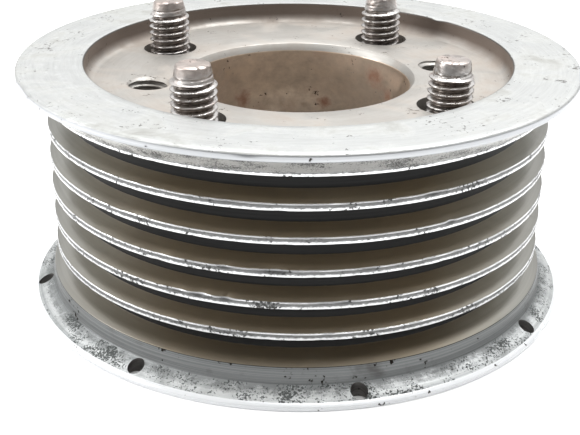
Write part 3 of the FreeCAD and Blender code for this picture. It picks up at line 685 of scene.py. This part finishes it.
# each dent: the angle in degrees, height and radius of its middle, its width round the rim, its reach and its
# depth, millimetres
DENTS = [
    (43, RIM_TOP, RECESS_RADIUS, 1.3, 0.5, 0.24),
    (204, RIM_TOP, RIM_RADIUS, 2.4, 0.8, 0.3),
    (209, RIM_TOP, RIM_RADIUS, 1.0, 0.5, 0.2),
    (262, RIM_TOP, RIM_RADIUS, 1.2, 0.4, 0.1),
    (222, RIM_TOP, RECESS_RADIUS, 0.9, 0.5, 0.15),
    (251, 10.75, RIDGE_RADIUS, 1.1, 0.3, 0.34),
    (256, 10.7, RIDGE_RADIUS, 0.7, 0.25, 0.24),
    (246, 10.75, RIDGE_RADIUS, 1.0, 0.25, 0.16),
    (256, 14.3, RIDGE_RADIUS, 0.6, 0.22, 0.2),
    (266, 14.3, RIDGE_RADIUS, 1.4, 0.22, 0.22),
    (302, 17.85, RIDGE_RADIUS, 0.5, 0.3, 0.24),
    (297, 21.4, RIDGE_RADIUS, 0.8, 0.25, 0.16),
    (237, 17.85, RIDGE_RADIUS, 1.5, 0.22, 0.18),
    (280, 10.7, RIDGE_RADIUS, 0.8, 0.3, 0.14),
    (40, 14.2, RIDGE_RADIUS, 1.3, 0.4, 0.2),
    (118, 10.6, RIDGE_RADIUS, 1.5, 0.4, 0.22),
    (160, 0.0, RIM_RADIUS, 1.8, 0.8, 0.2),
    (331, 0.0, RIM_RADIUS, 1.2, 0.7, 0.16),
]

# how deep the chips in the ridges go and how uneven the ridges are, millimetres
CHIP_DEPTH = 0.13
UNEVEN_DEPTH = 0.012
# how steeply a dent falls off from its middle, and how far it also pulls the rim's face down
DENT_FALL = 1.6
DENT_SINK = 0.4


def scale_out(vertex, factor):
    """Move a point out from the axis, or in, by a factor."""
    vertex.co.x *= factor
    vertex.co.y *= factor


def dented(place, radius):
    """How far all the dents together push a place of the shell in, millimetres."""
    angle = around(place)
    inward = 0.0
    for middle, height, reach, width, size, depth in DENTS:
        turn = (angle - middle + 180) % 360 - 180
        along = math.radians(turn) * radius / width
        if abs(along) > 2:
            continue
        apart = math.hypot(place.z - height, radius - reach) / size
        inward += depth * math.exp(-(along * along + apart * apart) * DENT_FALL)
    return inward


def wear(work):
    """Nick the ridges, dent the rims and make the worn edges uneven."""
    for vertex in work.verts:
        place = vertex.co / MM
        radius = place.xy.length
        if radius < RECESS_RADIUS - 0.5 and place.z < RECESS_FLOOR + 0.5:
            continue
        inward = dented(place, radius)
        if RIDGE_RADIUS - 0.12 < radius < 29.5 and 3.5 < place.z < 24.6:
            chips = noise.noise(Vector((place.x * 0.9, place.y * 0.9, place.z * 1.9)))
            inward += CHIP_DEPTH * max(0.0, chips - 0.18)
            waves = noise.noise(Vector((place.x * 0.25, place.y * 0.25, place.z)))
            inward += UNEVEN_DEPTH * (1 + waves)
        if inward:
            scale_out(vertex, 1 - inward / radius)
            if place.z > RIM_TOP - RIM_SKIN:
                vertex.co.z -= inward * DENT_SINK * MM


# the finishes of the shell, in the order of its material slots
ZONES = [RIM_FACE, RIM_EDGE, UNDERCUT, RIDGE, GROOVE, GROOVE_ROOT_SHADE, BASE_LAND, FLANGE, FLANGE_EDGE, RECESS,
         RECESS_EDGE_SHADE, BORE, CAVITY]

# the heights between which each finish lies, millimetres
RIM_EDGE_LOW = 26.8
UNDERCUT_LOW = 24.5
RIDGE_LOW, RIDGE_HIGH = 3.8, 24.65
GROOVE_LOW, GROOVE_HIGH = 3.5, 24.5
BASE_LAND_LOW, BASE_LAND_HIGH = 1.7, 3.7
FLANGE_LOW, FLANGE_HIGH = 0.7, 1.75
FLANGE_EDGE_HIGH = 1.0
RECESS_LOW = RECESS_FLOOR - 0.95
BORE_LOW = 9


def zone_of(face):
    """The finish of a shell face, by its place and the way that it faces."""
    middle = face.calc_center_median() / MM
    radius, height, upward = middle.xy.length, middle.z, face.normal.z
    # the rounded mouth of the recess gets a painted shade line
    if RECESS_RADIUS - 0.1 < radius < RECESS_RADIUS + 0.14 and height > RIM_TOP - 0.15:
        return RECESS_EDGE_SHADE
    if height > RIM_TOP - 0.25 and radius > RECESS_RADIUS + 0.05 and upward > 0.5:
        return RIM_FACE
    if radius > 29.3 and height > RIM_EDGE_LOW:
        return RIM_EDGE
    if radius > RIDGE_RADIUS + 0.1 and height > UNDERCUT_LOW:
        return UNDERCUT
    if radius > RIDGE_RADIUS - 0.1 and RIDGE_LOW < height < RIDGE_HIGH and abs(upward) < 0.9:
        return RIDGE
    if radius > RIDGE_RADIUS - DEPTH - 0.1 and GROOVE_LOW < height < GROOVE_HIGH:
        # the upright root faces of the grooves get the painted shade
        return GROOVE if abs(upward) > 0.5 else GROOVE_ROOT_SHADE
    if radius > 29.5 and BASE_LAND_LOW < height <= BASE_LAND_HIGH:
        return BASE_LAND
    if radius > 29.8 and upward > 0.8 and FLANGE_LOW < height < FLANGE_HIGH:
        return FLANGE
    if radius > 25 and height < FLANGE_EDGE_HIGH:
        return FLANGE_EDGE
    if radius > BEARING_SEAT + 0.15 and height > RECESS_LOW:
        return RECESS
    if radius < 14 and height > BORE_LOW:
        return BORE
    return CAVITY


# both threads are M5: pitch, millimetres, then the share of it that is flat root and the share that is slope
THREAD_PITCH = 0.8
ROOT_SHARE = 0.22
SLOPE_SHARE = 0.62


def thread_depth(angle, height):
    """0 at the root of the screw thread and 1 at its crest, for an angle in radians and a height in mm."""
    phase = (height / THREAD_PITCH - angle / FULL_TURN) % 1.0
    rise = abs(phase - 0.5) * 2
    return min(1.0, max(0.0, (rise - ROOT_SHARE) / SLOPE_SHARE))


def cut_thread(work, low, high, root, crest, cone=None):
    """Move the side of a turned rod in and out so that a screw thread runs round it."""
    for vertex in work.verts:
        place = vertex.co / MM
        radius = place.xy.length
        if radius < root * 0.8 or not low <= place.z <= high:
            continue
        angle = math.atan2(place.y, place.x)
        target = root + (crest - root) * thread_depth(angle, place.z)
        if cone:
            target = min(target, cone(place.z))
        scale_out(vertex, target / radius)


def cutter(name, work, finish):
    """A closed mesh that takes a hole out of the shell and leaves the given finish on its wall."""
    for face in work.faces:
        face.material_index = ZONES.index(finish)
    mesh = bpy.data.meshes.new(name)
    work.to_mesh(mesh)
    work.free()
    piece = bpy.data.objects.new(name, mesh)
    bpy.context.scene.collection.objects.link(piece)
    return piece


def rod(radius, low, high, steps=48, rows=1):
    """A plain rod on the axis, its side cut into rows."""
    side = [(radius, low + (high - low) * row / rows) for row in range(rows + 1)]
    return spun([(0, low)] + side + [(0, high)], steps, closed=False)


def moved(work, angle, circle):
    """Carry a bmesh from the axis to its place on a circle, turned to face away from the axis."""
    turn = Matrix.Rotation(math.radians(angle), 4, "Z")
    shift = Matrix.Translation((circle * MM, 0, 0))
    bmesh.ops.transform(work, matrix=turn @ shift, verts=work.verts)
    return work


# the two tapped holes, millimetres: thread core and crest, and the depth and widest radius of the mouth
TAP_CORE = 2.1
TAP_CREST = 2.5
TAP_ROWS = 100
MOUTH_DEPTH = 0.45
MOUTH_WIDEST = 2.62


def jack_cutter(angle, circle):
    """A threaded plug with a chamfered mouth, which leaves an M5 thread behind."""
    low, high = WEB_UNDER - 0.5, RECESS_FLOOR + 0.5
    work = rod(TAP_CORE, low, high, rows=TAP_ROWS)
    cut_thread(work, low + 0.01, high - 0.01, TAP_CORE, TAP_CREST)
    mouth = RECESS_FLOOR - MOUTH_DEPTH
    for vertex in work.verts:
        place = vertex.co / MM
        radius = place.xy.length
        wanted = TAP_CORE + (place.z - mouth)
        if place.z > mouth and 1 < radius < wanted:
            scale_out(vertex, min(wanted, MOUTH_WIDEST) / radius)
    return moved(work, angle, circle)


# the flange holes start this many degrees after the first stud, and their cutters end at this height in mm
FLANGE_HOLE_SHIFT = 0.8
FLANGE_HOLE_TOP = 1.75


def hole_cutters():
    """All the holes of the shell: one for each stud, the two tapped ones and those of the lower flange."""
    stud_angles = [around((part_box(name)[0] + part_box(name)[1]) / 2) for name in BOLTS]
    for number, angle in enumerate(stud_angles):
        work = moved(rod(STUD_HOLE_RADIUS, WEB_UNDER - 1, RECESS_FLOOR + 1), angle, STUD_CIRCLE)
        yield cutter(f"stud_hole_{number}", work, RECESS)
    for name in ("jack_thread_1", "jack_thread_2"):
        place = Vector(mounts[name]["pos_m"])
        yield cutter(name, jack_cutter(around(place), place.xy.length / MM), RECESS)
    pattern = mounts["flange_holes"]["dims"]
    for number in range(pattern["count"]):
        angle = stud_angles[0] + FLANGE_HOLE_SHIFT + number * 360 / pattern["count"]
        plug = rod(pattern["hole_r_mm"], -1, FLANGE_HOLE_TOP, steps=24)
        yield cutter(f"flange_hole_{number}", moved(plug, angle, pattern["pcd_mm"] / 2), CAVITY)


def make_shell():
    """The belt pulley: spun, worn, and then cut by every hole in turn."""
    work = spun(shell_outline(), SHELL_STEPS)
    soften(work, edge_round)
    for face in work.faces:
        face.material_index = ZONES.index(zone_of(face))
    wear(work)
    shell = finish_mesh(work, "turned_pulley_shell", ZONES, SHELL_SHARP)
    cutters = list(hole_cutters())
    for piece in cutters:
        cut = shell.modifiers.new("hole", "BOOLEAN")
        cut.operation = "DIFFERENCE"
        cut.object = piece
        cut.solver = "EXACT"
    bake_modifiers(shell, SHELL_SHARP)
    for piece in cutters:
        mesh = piece.data
        bpy.data.objects.remove(piece)
        bpy.data.meshes.remove(mesh)
    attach(shell, "pulley")
    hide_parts(SHELL)


def bake_modifiers(piece, sharp_degrees):
    """Apply a piece's modifiers to its mesh."""
    graph = bpy.context.evaluated_depsgraph_get()
    mesh = bpy.data.meshes.new_from_object(piece.evaluated_get(graph))
    piece.modifiers.clear()
    piece.data = mesh
    mesh.name = piece.name
    smooth(mesh, sharp_degrees)


# ---- the captive bolts ----

# millimetres: the thread's root, how far out of it the grime reaches, where the cone of the tip starts, how
# wide it is there, and the flat end
STUD_ROOT = 1.98
GRIME_DEPTH = 0.17
CONE_LOW = 29.55
CONE_WIDE = 2.2
TIP_RADIUS = 1.75
# how fast the cone runs out to the crest below its wide end
CONE_RUNOUT = 2.5
# the head: its radius at the chamfered underside and above it, how far out its flat lies, and its chamfer
HEAD_UNDER = 4.6
HEAD_RADIUS = 4.9
HEAD_FLAT = 3.8
HEAD_CHAMFER = 0.3
# the chamfer between the cone and the flat end
TIP_CHAMFER = 0.1
BOLT_STEPS = 72
ROWS_PER_MM = 16
# for each bolt: how far it has dropped, its lean in degrees, and the direction of the lean
BOLT_SETTLING = [(0.5, 0.6, 200), (0.06, 0.7, 100), (0.06, 1.0, 260), (0.9, 2.2, 350)]


def bolt_outline(head_low, top, crest):
    """Half the section of a bolt, from the middle of its head to the middle of its tip."""
    rows = int((top - WEB_UNDER) * ROWS_PER_MM)
    points = [(0, head_low), (HEAD_UNDER, head_low), (HEAD_RADIUS, head_low + HEAD_CHAMFER),
              (HEAD_RADIUS, WEB_UNDER), (crest, WEB_UNDER)]
    points += [(crest, WEB_UNDER + (top - 0.12 - WEB_UNDER) * row / rows) for row in range(1, rows + 1)]
    return points + [(TIP_RADIUS, top), (TIP_RADIUS * 0.5, top), (0, top)]


def roughen_bolt(work, name, top):
    """Flatten one side of the head and batter the thread and the tip."""
    seed = Vector((0, 0, sum(map(ord, name)) * 3.7))
    for vertex in work.verts:
        place = vertex.co / MM
        if place.z < WEB_UNDER + 0.2:
            vertex.co.x = max(vertex.co.x, -HEAD_FLAT * MM)
            continue
        rough = noise.noise(place * 1.3 + seed) * 0.05 + noise.noise(place * 4.0 + seed) * 0.025
        share = 1.6 if place.z > CONE_LOW else 1.0
        radius = place.xy.length
        if radius > 0.5:
            scale_out(vertex, 1 - max(0.0, rough * share + 0.02) / radius)
        if place.z > top - 0.3:
            vertex.co.z -= abs(rough) * 1.5 * MM


def settle_bolt(work, angle, drop, lean, lean_towards):
    """Lean a bolt about its foot and let it drop, as it sits loose in its hole."""
    turn, towards = math.radians(angle), math.radians(lean_towards)
    foot = Vector((math.cos(turn), math.sin(turn), 0)) * STUD_CIRCLE * MM
    foot.z = WEB_UNDER * MM
    tilt = Matrix.Rotation(math.radians(lean), 4, Vector((-math.sin(towards), math.cos(towards), 0)))
    there, back = Matrix.Translation(foot), Matrix.Translation(-foot)
    settle = Matrix.Translation((0, 0, -drop * MM))
    bmesh.ops.transform(work, matrix=settle @ there @ tilt @ back, verts=work.verts)


def make_bolt(name, drop, lean, lean_towards):
    """A captive bolt: a low head with a flat, and a full-length rolled thread with a worn, cone-ended tip."""
    low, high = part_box(name)
    angle = around((low + high) / 2)
    top = high.z / MM
    crest = mounts["mounting_studs"]["dims"]["stud_r_mm"]
    work = spun(bolt_outline(low.z / MM, top, crest), BOLT_STEPS, closed=False)

    def cone(height):
        narrow = TIP_RADIUS + TIP_CHAMFER
        widening = (top - TIP_CHAMFER - height) * (CONE_WIDE - narrow) / (top - CONE_LOW)
        return min(crest, narrow + widening + CONE_RUNOUT * max(0.0, CONE_LOW + 0.1 - height))

    thread_low = WEB_UNDER + 0.3
    cut_thread(work, thread_low, top - TIP_CHAMFER, STUD_ROOT, crest, cone)
    for face in work.faces:
        middle = face.calc_center_median() / MM
        in_root = thread_low < middle.z < CONE_LOW and middle.xy.length < STUD_ROOT + GRIME_DEPTH
        face.material_index = 1 if in_root else 0
    roughen_bolt(work, name, top)
    moved(work, angle, STUD_CIRCLE)
    settle_bolt(work, angle, drop, lean, lean_towards)
    bolt = finish_mesh(work, f"threaded_{name}", [STUD, THREAD_ROOT], BOLT_SHARP)
    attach(bolt, "pulley")
    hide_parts(name)


# ---- finishes of the CAD pieces ----

FINISHES = {
    "plate_steel": PLATE,
    "spring_steel": SPRING_STEEL,
    "rivet_steel": RIVET,
    "bearing_steel": BEARING,
    "seal_rubber": RUBBER,
    "cage_brass": CAGE,
    "circlip_steel": CIRCLIP,
    "rotor_steel": ROTOR,
    "separator_copper": COPPER,
    "lining_friction": LINING,
    "stator_paint": PAINT,
    "bobbin_nylon": NYLON,
    "winding_copper": WIRE,
    "potting_epoxy": RESIN,
    "contact_brass": CONTACT,
    "pulley_steel": RIM_FACE,
    "bolt_steel": STUD,
}


def finish_cad_nodes():
    """Give every CAD node the finish of its material slot."""
    for row in frame["record"]["subparts"]:
        node = frame["nodes"][row["node"]]
        node.data.materials.clear()
        node.data.materials.append(FINISHES[row["material_slot"]])


# ---- floor, light and camera ----

# the camera: place in metres, focal length in mm, how far it looks down, its small turn and roll in radians
CAMERA_PLACE = (0, -0.1251, 0.0637)
CAMERA_LENS = 68.6
CAMERA_PITCH_DEGREES = 24.49
CAMERA_TURN = 0.0064
CAMERA_ROLL = 0.0092
# the soft lights: name, place, the point that they shine at, width in metres and power in watts
SOFT_LIGHTS = [
    ("overhead_softbox", (0.05, 0.1, 0.5), (0, 0, 0.02), 0.45, 4.0),
    ("left_softbox", (-0.45, -0.05, 0.25), (0, 0, 0.015), 0.3, 1.5),
]


def make_floor():
    work = bmesh.new()
    bmesh.ops.create_grid(work, x_segments=1, y_segments=1, size=FLOOR_HALF)
    bmesh.ops.translate(work, verts=work.verts, vec=(0, 0, -FLOOR_GAP * MM))
    mesh = bpy.data.meshes.new("floor")
    work.to_mesh(mesh)
    work.free()
    material, tree, shader, place = start_material("pale_floor")
    cloud = noise_of(tree, place, 0.02, 2.0)
    colour = blend_colours(tree, cloud, tone(250, 250, 250), tone(254, 254, 254))
    tree.links.new(colour, shader.inputs["Base Color"])
    shader.inputs["Roughness"].default_value = 0.6
    mesh.materials.append(material)
    floor = bpy.data.objects.new("floor", mesh)
    bpy.context.scene.collection.objects.link(floor)


def make_world():
    """A pale room: bright above and behind, dimmer on the side that the camera stands on."""
    world = bpy.data.worlds.new("pale_room")
    world.use_nodes = True
    tree = world.node_tree
    tree.nodes.clear()
    direction = tree.nodes.new("ShaderNodeTexCoord").outputs["Generated"]
    parts = add(tree, "ShaderNodeSeparateXYZ", {0: direction}).outputs
    behind = spread(tree, parts[1], -0.9, 0.4, 0.3, 1.0)
    low_sky = spread(tree, parts[2], 0.12, 0.36, 0.46, 1.0)
    high_sky = spread(tree, parts[2], 0.36, 0.95, 1.0, 1.25)
    sides = spread(tree, maths(tree, "ABSOLUTE", parts[0]), 0.12, 0.3, 1.0, 1.35)
    sky = maths(tree, "MULTIPLY", low_sky, high_sky)
    strength = maths(tree, "MULTIPLY", sky, maths(tree, "MULTIPLY", behind, sides))
    background = add(tree, "ShaderNodeBackground", {0: (1.0, 1.0, 1.0, 1.0), 1: strength})
    output = tree.nodes.new("ShaderNodeOutputWorld")
    tree.links.new(background.outputs[0], output.inputs[0])
    bpy.context.scene.world = world


def make_light(name, place, aim, size, power):
    light = bpy.data.lights.new(name, "AREA")
    light.shape = "DISK"
    light.size = size
    light.energy = power
    lamp = bpy.data.objects.new(name, light)
    lamp.location = place
    lamp.rotation_euler = (Vector(aim) - Vector(place)).to_track_quat("-Z", "Y").to_euler()
    bpy.context.scene.collection.objects.link(lamp)


def make_camera():
    camera = bpy.data.cameras.new("camera")
    camera.sensor_width = 36
    camera.lens = CAMERA_LENS
    camera.clip_start = 0.005
    stand = bpy.data.objects.new("camera", camera)
    turn = Matrix.Rotation(CAMERA_TURN, 4, "Z")
    pitch = Matrix.Rotation(math.pi / 2 - math.radians(CAMERA_PITCH_DEGREES), 4, "X")
    roll = Matrix.Rotation(CAMERA_ROLL, 4, "Z")
    stand.matrix_world = Matrix.Translation(CAMERA_PLACE) @ turn @ pitch @ roll
    bpy.context.scene.collection.objects.link(stand)
    bpy.context.scene.camera = stand


make_shell()
for bolt_name, settling in zip(BOLTS, BOLT_SETTLING):
    make_bolt(bolt_name, *settling)
finish_cad_nodes()
make_floor()
make_world()
for soft_light in SOFT_LIGHTS:
    make_light(*soft_light)
make_camera()
bpy.context.scene.view_settings.view_transform = "Standard"

bpy.context.view_layer.update()
